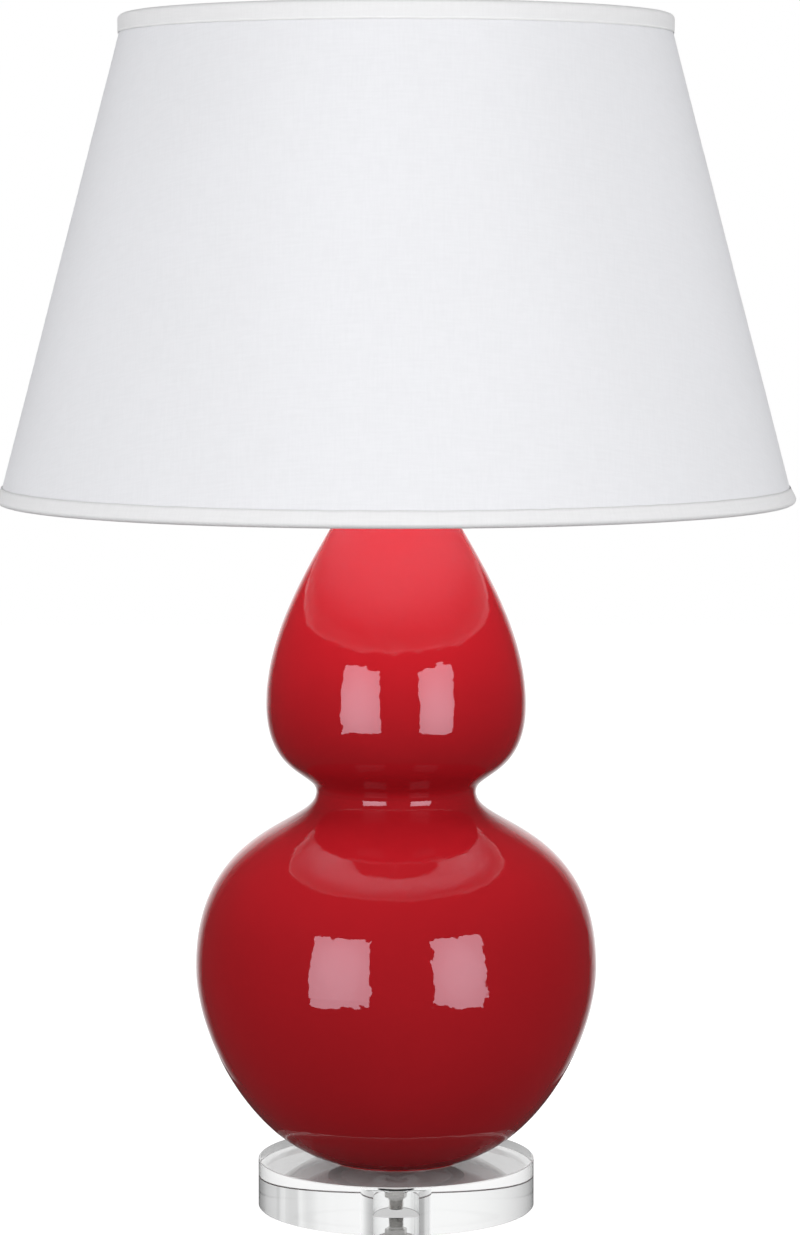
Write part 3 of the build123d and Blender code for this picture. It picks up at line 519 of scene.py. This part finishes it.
TAPE_THICKNESS = 0.32 * MM
TAPE_GAP = 0.03 * MM
TAPE_ROUNDING = 3.0 * MM
TAPE_ROLL = 3.9 * MM
TAPE_INNER_LEG = 9.5 * MM
TAPE_COLUMNS = 720
TAPE_HIGHLIGHT_SKIP = 5 * MM       # moves the lower tape's cloth on, past the painted highlight along its edge, so that the lower tape shows none
TAPE_LAP = 16 * MM
TAPE_LAP_RAMP = 3 * MM
TAPE_LAP_LIFT = 0.4 * MM
TAPE_WAVE = 0.22 * MM
TAPE_WAVE_SHARE = 0.5          # of the wave, that the outer face follows
TAPE_SINK = 0.1 * MM
TAPE_LEG_RIPPLE = 2            # times the ripple, in how long the inner leg is
WAVES_ROUND = 6
WAVES_APART = 40               # takes the two tapes' waves from places far apart in the noise
RIPPLES_IN_WAVE = 4.1
TOP_BAND_HEIGHT = 11.6 * MM
TOP_LEG_RADIUS = 167.8 * MM
BOTTOM_BAND_HEIGHT = 10.3 * MM
BOTTOM_LEG_RADIUS = 246.2 * MM
ARM_ANGLES = [math.radians(30 + 120 * n) for n in range(3)]
ARM_NOTCH = 3.4 * MM
ARM_NOTCH_RAMP = 1.2 * MM
ARM_NOTCH_DEPTH = 1.6 * MM
SHORTEST_LEG = TAPE_ROUNDING + 0.05 * MM
QUARTER_ROUND = 0.5523         # handle length of a Bezier curve for a quarter circle of radius 1
CURVE_STEPS = 6
UNDER_STEPS = 4
LEG_STEPS = 3


def curve_points(start, first, second, end):
    """Points along a Bezier curve in the section's plane, as (radius, z)."""
    points = []
    for n in range(CURVE_STEPS + 1):
        t = n / CURVE_STEPS
        weights = ((1 - t) ** 3, 3 * t * (1 - t) ** 2, 3 * t * t * (1 - t), t ** 3)
        points.append(tuple(
            sum(w * p[axis] for w, p in zip(weights, (start, first, second, end)))
            for axis in range(2)
        ))
    return points


def tape_section(edge, inwards, band_radius, under_radius, leg_radius, band_height, inner_leg):
    """The outside of a folded tape, from its outer edge over the rim to its inner edge, as (radius, z)."""
    def height(depth):
        return edge + inwards * depth
    handle = 1 - QUARTER_ROUND
    low = [(under_radius + (band_radius - under_radius) * n / UNDER_STEPS,
            height(band_height + (TAPE_ROUNDING - band_height) * n / UNDER_STEPS))
           for n in range(UNDER_STEPS)]
    outer = curve_points(
        (band_radius, height(TAPE_ROUNDING)), (band_radius, height(handle * TAPE_ROUNDING)),
        (band_radius - handle * TAPE_ROLL, edge), (band_radius - TAPE_ROLL, edge),
    )
    inner = curve_points(
        (leg_radius + TAPE_ROUNDING, edge), (leg_radius + handle * TAPE_ROUNDING, edge),
        (leg_radius, height(handle * TAPE_ROUNDING)), (leg_radius, height(TAPE_ROUNDING)),
    )
    last = [(leg_radius, height(TAPE_ROUNDING + (inner_leg - TAPE_ROUNDING) * n / LEG_STEPS))
            for n in range(1, LEG_STEPS + 1)]
    return low + outer + inner + last


def inward_offset(section, distance):
    """The section moved to its inner side, along its own normals."""
    moved = []
    for n, (r, z) in enumerate(section):
        before = section[max(0, n - 1)]
        after = section[min(len(section) - 1, n + 1)]
        dr = after[0] - before[0]
        dz = after[1] - before[1]
        length = math.hypot(dr, dz)
        moved.append((r + distance * dz / length, z - distance * dr / length))
    return moved


def section_lengths(section):
    """How far along the section each of its points lies."""
    lengths = [0.0]
    for a, b in zip(section, section[1:]):
        lengths.append(lengths[-1] + math.dist(a, b))
    return lengths


def arm_distance(angle, radius):
    """How far a place on the rim is from the nearest of the spider's arms, along the rim."""
    apart = [abs((angle - arm + math.pi) % FULL_TURN - math.pi) for arm in ARM_ANGLES]
    return radius * min(apart)


def add_tape_run(bm, uv, section_at, total, is_lower):
    """A run of tape round the rim from the back, as a closed skin of its own thickness."""
    thickness = -TAPE_THICKNESS if is_lower else TAPE_THICKNESS
    # The lower tape's cloth starts past the painted highlight of its edge.
    skipped = TAPE_HIGHLIGHT_SKIP if is_lower else 0.0
    rings = []
    for i in range(TAPE_COLUMNS + 1):
        turned = total * i / TAPE_COLUMNS
        angle = BACK + turned
        section = section_at(angle, turned)
        lengths = section_lengths(section)
        rings.append([
            [(bm.verts.new(polar(r, angle, z)), (angle * section[0][0], along + skipped))
             for (r, z), along in zip(side, lengths)]
            for side in (section, inward_offset(section, thickness))
        ])

    def face(*corners):
        order = corners[::-1] if is_lower else corners
        made = bm.faces.new([vert for vert, place in order])
        made.smooth = True
        for loop, (vert, place) in zip(made.loops, order):
            loop[uv].uv = place

    last = len(rings[0][0]) - 1
    for (out_a, in_a), (out_b, in_b) in zip(rings, rings[1:]):
        for k in range(last):
            face(out_a[k], out_b[k], out_b[k + 1], out_a[k + 1])
            face(in_a[k + 1], in_b[k + 1], in_b[k], in_a[k])
        face(out_b[0], out_a[0], in_a[0], in_b[0])
        face(out_a[last], out_b[last], in_b[last], in_a[last])
    first_outer, first_inner = rings[0]
    last_outer, last_inner = rings[-1]
    for k in range(last):
        face(first_outer[k], first_outer[k + 1], first_inner[k + 1], first_inner[k])
        face(last_outer[k + 1], last_outer[k], last_inner[k], last_inner[k + 1])


def make_tape(name, edge, inwards, band_radius, leg_radius, band_height, node, notched):
    """A tape folded over a rim. Inwards is -1 for the top rim, whose tape runs down from it, or else 1."""
    under = cone_radius(edge + inwards * band_height) + TAPE_THICKNESS + TAPE_GAP

    def section_at(angle, turned):
        over = (turned - FULL_TURN) * band_radius
        lift = TAPE_LAP_LIFT * smooth((over + TAPE_LAP_RAMP) / TAPE_LAP_RAMP)
        spot = Vector((WAVES_ROUND * math.cos(angle), WAVES_ROUND * math.sin(angle), edge * WAVES_APART))
        wave = TAPE_WAVE * noise.noise(spot)
        ripple = TAPE_WAVE * noise.noise(spot * RIPPLES_IN_WAVE)
        leg = TAPE_INNER_LEG + TAPE_LEG_RIPPLE * ripple
        if notched:
            clear = smooth((arm_distance(angle, leg_radius) - ARM_NOTCH) / ARM_NOTCH_RAMP)
            leg = ARM_NOTCH_DEPTH + (leg - ARM_NOTCH_DEPTH) * clear
        outer = band_radius + TAPE_WAVE_SHARE * wave - TAPE_SINK + lift
        return tape_section(edge - inwards * lift, inwards, outer, under + lift, leg_radius - lift,
                            band_height + ripple, max(leg, SHORTEST_LEG))

    bm = bmesh.new()
    uv = bm.loops.layers.uv.new("flat")
    add_tape_run(bm, uv, section_at, FULL_TURN + TAPE_LAP / band_radius, inwards > 0)
    bmesh.ops.recalc_face_normals(bm, faces=bm.faces)
    mesh = bpy.data.meshes.new(name)
    bm.to_mesh(mesh)
    bm.free()
    return new_object(name, mesh, "shade_tape", node)


cloth = make_shade_cloth()
top_tape = make_tape("top_tape", RIM_TOP, -1, TOP_TRIM[1].x, TOP_LEG_RADIUS, TOP_BAND_HEIGHT,
                     "top_trim", True)
bottom_tape = make_tape("bottom_tape", RIM_LOW, 1, BOTTOM_TRIM[1].x, BOTTOM_LEG_RADIUS, BOTTOM_BAND_HEIGHT,
                        "bottom_trim", False)


# ---- Surroundings ----
# Angles are from straight behind the lamp.

BACKDROP_INNER = math.radians(12)
BACKDROP_OUTER = math.radians(36)
STUDIO_DARK = 0.05
GLASS_BACKDROP_INNER = math.radians(15)
GLASS_BACKDROP_OUTER = math.radians(95)
GLASS_STUDIO = 0.50
FILL_LIGHT = 0.38
SWIRL_DARKENING = 0.22
SWIRL_DISTORTION = 1.5
SWIRL_RANGE = (0.35, 0.65)
WORLD_SWIRL_FREQUENCY = 3.5
WORLD_SWIRL_START = 0.1        # the sideways part of a direction
WORLD_SWIRL_FULL = 0.6

FLOOR_SIZE = 8.0
FLOOR_DROP = 0.3 * MM
FLOOR_GLOW = 0.94
FLOOR_SIDE_GLOW = 0.60
FLOOR_COLOUR = (0.32, 0.32, 0.32)
# The floor's matt colour where the glaze mirrors it: painted shade.
FLOOR_MIRRORED_SHADE = (0.06, 0.06, 0.06)
FLOOR_SWIRL_FREQUENCY = 9.0
FLOOR_SWIRL_START = 0.02       # metres to the side
FLOOR_SWIRL_FULL = 0.12
# Painted shadow: the floor's glow, as glass shows it, is turned down under and near the lamp, and painted
# lighter again under the recess.
UNDER_RADIUS = 0.025
SHADOW_GLOW_UNDER_LAMP = 0.07
BESIDE_RADIUS = 0.081
SHADOW_GLOW_BESIDE_LAMP = 0.34
BESIDE_BLUR = 4 * MM
MIRRORED_RADIUS = 0.0872
MIRRORED_SHADOW_SHARE = 0.15      # painted shade: of the floor's glow, what is left where the glaze shows it through the disc
MIRRORED_ONCE = 0.5            # between no reflection on a ray's way and one
THROUGH_TWICE = 2.5            # between two passes through a surface of glass and three
RECESS_RADIUS = 0.015
RECESS_GLOW = 0.58
PLINTH_WIDTH = 0.35
PLINTH_FRONT = -0.155
PLINTH_BACK = 0.40
PLINTH_MIRROR = 0.05


def through_glass(s, place, backwards, sideways, glow, swirl):
    """Brightness as glass shows it: from glow's first value behind the lamp to its second at the sides,
    with soft swirls on one side. Swirl is their frequency, and where sideways they start and are full."""
    frequency, start, full = swirl
    level = s.ramp(s.calc("ARCCOSINE", backwards), GLASS_BACKDROP_INNER, GLASS_BACKDROP_OUTER, *glow)
    cloud = s.ramp(s.noise(place, frequency, distortion=SWIRL_DISTORTION), *SWIRL_RANGE)
    taken = s.calc("MULTIPLY", cloud, s.ramp(sideways, start, full, 0.0, SWIRL_DARKENING))
    return s.calc("MULTIPLY", level, s.calc("SUBTRACT", 1.0, taken))


def make_world():
    """White to the camera, a dim fill light, and to mirrors and glass a white backdrop in the dark."""
    world = bpy.data.worlds.new("studio")
    bpy.context.scene.world = world
    s = Nodes(world, "OutputWorld")
    path = s.add("LightPath")
    place = s.place("Generated")
    backwards = s.axis(place, "Y")
    mirror = s.ramp(s.calc("ARCCOSINE", backwards), BACKDROP_INNER, BACKDROP_OUTER, 1.0, STUDIO_DARK)
    through = through_glass(s, place, backwards, s.axis(place, "X"), (1.0, GLASS_STUDIO),
                            (WORLD_SWIRL_FREQUENCY, WORLD_SWIRL_START, WORLD_SWIRL_FULL))
    level = FILL_LIGHT
    for kind, value in (("Is Glossy Ray", mirror), ("Is Transmission Ray", through), ("Is Camera Ray", 1.0)):
        level = s.number_mix(path.outputs[kind], level, value)
    s.done(s.add("Background", Color=colour(WHITE), Strength=level).outputs[0])


def plane(name, size_x, size_y):
    mesh = bpy.data.meshes.new(name)
    bm = bmesh.new()
    corners = [(-1, -1), (1, -1), (1, 1), (-1, 1)]
    bm.faces.new([bm.verts.new((x * size_x / 2, y * size_y / 2, 0)) for x, y in corners])
    bm.to_mesh(mesh)
    bm.free()
    made = bpy.data.objects.new(name, mesh)
    bpy.context.scene.collection.objects.link(made)
    return made


def floor_through_glass(s, by_glaze):
    """The floor's glow as glass shows it, with a painted shadow: dim under the disc, dimmer where the glaze
    mirrors it there, and painted lighter again in the recess."""
    place = s.place()
    away = s.add("VectorMath", {"operation": "LENGTH"}, Vector=place).outputs["Value"]
    # Painted shadow under the disc, deepest under its middle.
    under = s.ramp(away, UNDER_RADIUS, BESIDE_RADIUS, SHADOW_GLOW_UNDER_LAMP, SHADOW_GLOW_BESIDE_LAMP)
    backwards = s.calc("DIVIDE", s.axis(place, "Y"), away)
    around = through_glass(s, place, backwards, s.axis(place, "X"), (FLOOR_GLOW, FLOOR_SIDE_GLOW),
                           (FLOOR_SWIRL_FREQUENCY, FLOOR_SWIRL_START, FLOOR_SWIRL_FULL))
    glow = s.ramp(away, BESIDE_RADIUS, BESIDE_RADIUS + BESIDE_BLUR, under, around)
    # Painted shade: where the glaze mirrors the floor through the disc, its glow is turned down further.
    mirrored_shade = s.calc("MULTIPLY", by_glaze, s.calc("LESS_THAN", away, MIRRORED_RADIUS))
    glow = s.calc("MULTIPLY", glow, s.number_mix(mirrored_shade, 1.0, MIRRORED_SHADOW_SHARE))
    return s.number_mix(s.calc("LESS_THAN", away, RECESS_RADIUS), glow, RECESS_GLOW)


def make_floor():
    """A pale floor, lit by itself as well, so that the camera sees it white."""
    s = new_material("floor")
    path = s.add("LightPath")
    by_glaze = s.calc("MULTIPLY", s.calc("GREATER_THAN", path.outputs["Glossy Depth"], MIRRORED_ONCE),
                      s.calc("LESS_THAN", path.outputs["Transmission Depth"], THROUGH_TWICE))
    glow = s.calc("MULTIPLY", path.outputs["Is Camera Ray"], FLOOR_GLOW)
    glow = s.number_mix(path.outputs["Is Transmission Ray"], glow, floor_through_glass(s, by_glaze))
    # Painted shade: the floor's matt colour is darker where the glaze mirrors it.
    matt = s.add("BsdfDiffuse", Color=s.colours(by_glaze, FLOOR_COLOUR, FLOOR_MIRRORED_SHADE)).outputs[0]
    both = s.add("AddShader")
    s.put_all(both.inputs, (s.shine(glow), matt))
    floor = plane("floor", FLOOR_SIZE, FLOOR_SIZE)
    floor.location.z = -FLOOR_DROP
    floor.visible_glossy = False
    floor.data.materials.append(s.done(both.outputs[0]))


def show_only_mirrored(thing, material):
    """Gives a thing of the studio its material, and lets it show in mirror-like surfaces alone."""
    thing.visible_camera = False
    thing.visible_diffuse = False
    thing.visible_transmission = False
    thing.visible_shadow = False
    thing.data.materials.append(material)


def make_plinth_top():
    """The floor near the lamp, as its glaze mirrors it."""
    s = new_material("plinth_top")
    top = plane("plinth_top", PLINTH_WIDTH, PLINTH_BACK - PLINTH_FRONT)
    top.location = (0, 0.5 * (PLINTH_BACK + PLINTH_FRONT), -FLOOR_DROP)
    show_only_mirrored(top, s.done(s.shine(PLINTH_MIRROR)))


# ---- Lights ----
# Panels and windows are given by their angle from straight in front, in degrees, and their width.

PANEL_DISTANCE = 2.0
PANEL_LOW = 0.15
PANEL_HIGH = 1.45
PANEL_RADIANCE = 4.95
PANELS = {"left": (-45.0, 1.20), "right": (47.0, 1.20)}
WINDOW_LOW = -0.40
WINDOW_HIGH = 1.08
WINDOW_RADIANCE = 5.8
WINDOW_EDGE = 0.80             # of the radiance in its middle
WINDOW_MIDDLE_SHARE = 0.2      # of its half size, that is at full radiance
WINDOW_EDGE_SHARE = 1.3        # of its half size, where WINDOW_EDGE is reached
WINDOW_AGAIN = 0.25            # of the radiance, where a ray bounced before it was mirrored
BOUNCED_BEFORE = 1.5           # between one bounce on a ray's way and two
WINDOW_TINT = (0.98, 0.86, 1.0)
WINDOWS = {"left": (-31.6, 1.22), "right": (35.6, 1.08)}

SHADE_GLOW_POWER = 1.45
SHADE_GLOW_TINT = (1.0, 0.95, 1.10)
SHADE_GLOW_HEIGHT = 0.49
SHADE_GLOW_SIZE = 0.20
DOWN_LIGHT_POWER = 0.92
DOWN_LIGHT_HEIGHT = 0.50
DOWN_LIGHT_SIZE = 0.36
FRONT_LIGHT_POWER = 0.023
FRONT_LIGHT_PLACE = (0.0, -0.19, 0.53)
FRONT_LIGHT_TILT = math.radians(40)
FRONT_LIGHT_WIDTH = 0.20
FRONT_LIGHT_DEPTH = 0.08
FRONT_LIGHT_SPREAD = math.radians(55)


def face_lamp(thing, azimuth, height):
    """Stands a thing upright in front of the lamp, turned to it. Azimuth 0 is straight in front."""
    turn = math.radians(azimuth)
    thing.location = (PANEL_DISTANCE * math.sin(turn), -PANEL_DISTANCE * math.cos(turn), height)
    thing.rotation_euler = (math.pi / 2, 0, turn)


def add_light(name, power, shape, width, depth=None):
    """An area light that shows neither to the camera nor in mirrors and glass."""
    data = bpy.data.lights.new(name, "AREA")
    data.energy = power
    data.shape = shape
    data.size = width
    if depth is not None:
        data.size_y = depth
    light = bpy.data.objects.new(name, data)
    bpy.context.scene.collection.objects.link(light)
    light.visible_camera = False
    light.visible_glossy = False
    light.visible_transmission = False
    return light


def make_panel(name, azimuth, width):
    tall = PANEL_HIGH - PANEL_LOW
    power = PANEL_RADIANCE * math.pi * width * tall
    panel = add_light("panel_" + name, power, "RECTANGLE", width, tall)
    face_lamp(panel, azimuth, 0.5 * (PANEL_HIGH + PANEL_LOW))


def make_window(name, azimuth, width):
    """A panel as mirror-like surfaces show it."""
    tall = WINDOW_HIGH - WINDOW_LOW
    window = plane("window_" + name, width, tall)
    face_lamp(window, azimuth, 0.5 * (WINDOW_HIGH + WINDOW_LOW))
    s = new_material("window_" + name)
    place = s.place()
    across = s.calc("DIVIDE", s.axis(place, "X"), 0.5 * width)
    upwards = s.calc("DIVIDE", s.axis(place, "Y"), 0.5 * tall)
    outwards = s.calc("SQRT", s.calc("ADD", s.calc("POWER", across, 2.0), s.calc("POWER", upwards, 2.0)))
    level = s.ramp(outwards, WINDOW_MIDDLE_SHARE, WINDOW_EDGE_SHARE,
                   WINDOW_RADIANCE, WINDOW_EDGE * WINDOW_RADIANCE)
    again = s.calc("GREATER_THAN", s.add("LightPath").outputs["Ray Depth"], BOUNCED_BEFORE)
    level = s.calc("MULTIPLY", level, s.number_mix(again, 1.0, WINDOW_AGAIN))
    show_only_mirrored(window, s.done(s.shine(level, WINDOW_TINT)))


def make_shade_lights():
    """The light that gathers inside the shade, and what of it falls down on the glaze. The bulb would
    stand in its way, so it casts no shadow."""
    glow = add_light("shade_glow", SHADE_GLOW_POWER, "DISK", SHADE_GLOW_SIZE)
    glow.data.color = SHADE_GLOW_TINT
    glow.location = (0, 0, SHADE_GLOW_HEIGHT)
    glow.rotation_euler = (math.pi, 0, 0)
    down = add_light("shade_down", DOWN_LIGHT_POWER, "DISK", DOWN_LIGHT_SIZE)
    down.location = (0, 0, DOWN_LIGHT_HEIGHT)
    front = add_light("shade_front", FRONT_LIGHT_POWER, "ELLIPSE", FRONT_LIGHT_WIDTH, FRONT_LIGHT_DEPTH)
    front.data.spread = FRONT_LIGHT_SPREAD
    front.location = FRONT_LIGHT_PLACE
    front.rotation_euler = (FRONT_LIGHT_TILT, 0, 0)
    frame["nodes"]["bulb_glass"].visible_shadow = False


make_world()
make_floor()
make_plinth_top()
for name, (azimuth, width) in PANELS.items():
    make_panel(name, azimuth, width)
for name, (azimuth, width) in WINDOWS.items():
    make_window(name, azimuth, width)
make_shade_lights()


# ---- Camera ----

CAMERA_PLACE = (0.0025, -2.606, 0.6165)
CAMERA_DOWN = math.radians(3.0)
CAMERA_LENS = 119.19
CAMERA_SENSOR = 36.0
CAMERA_SHIFT = -0.1280
CAMERA_REACH = 50.0

camera_data = bpy.data.cameras.new("camera")
camera_data.lens = CAMERA_LENS
camera_data.sensor_width = CAMERA_SENSOR
camera_data.shift_y = CAMERA_SHIFT
camera_data.clip_end = CAMERA_REACH
camera = bpy.data.objects.new("camera", camera_data)
bpy.context.scene.collection.objects.link(camera)
camera.location = CAMERA_PLACE
camera.rotation_euler = (math.pi / 2 - CAMERA_DOWN, 0, 0)
bpy.context.scene.camera = camera
bpy.context.scene.view_settings.view_transform = "Standard"
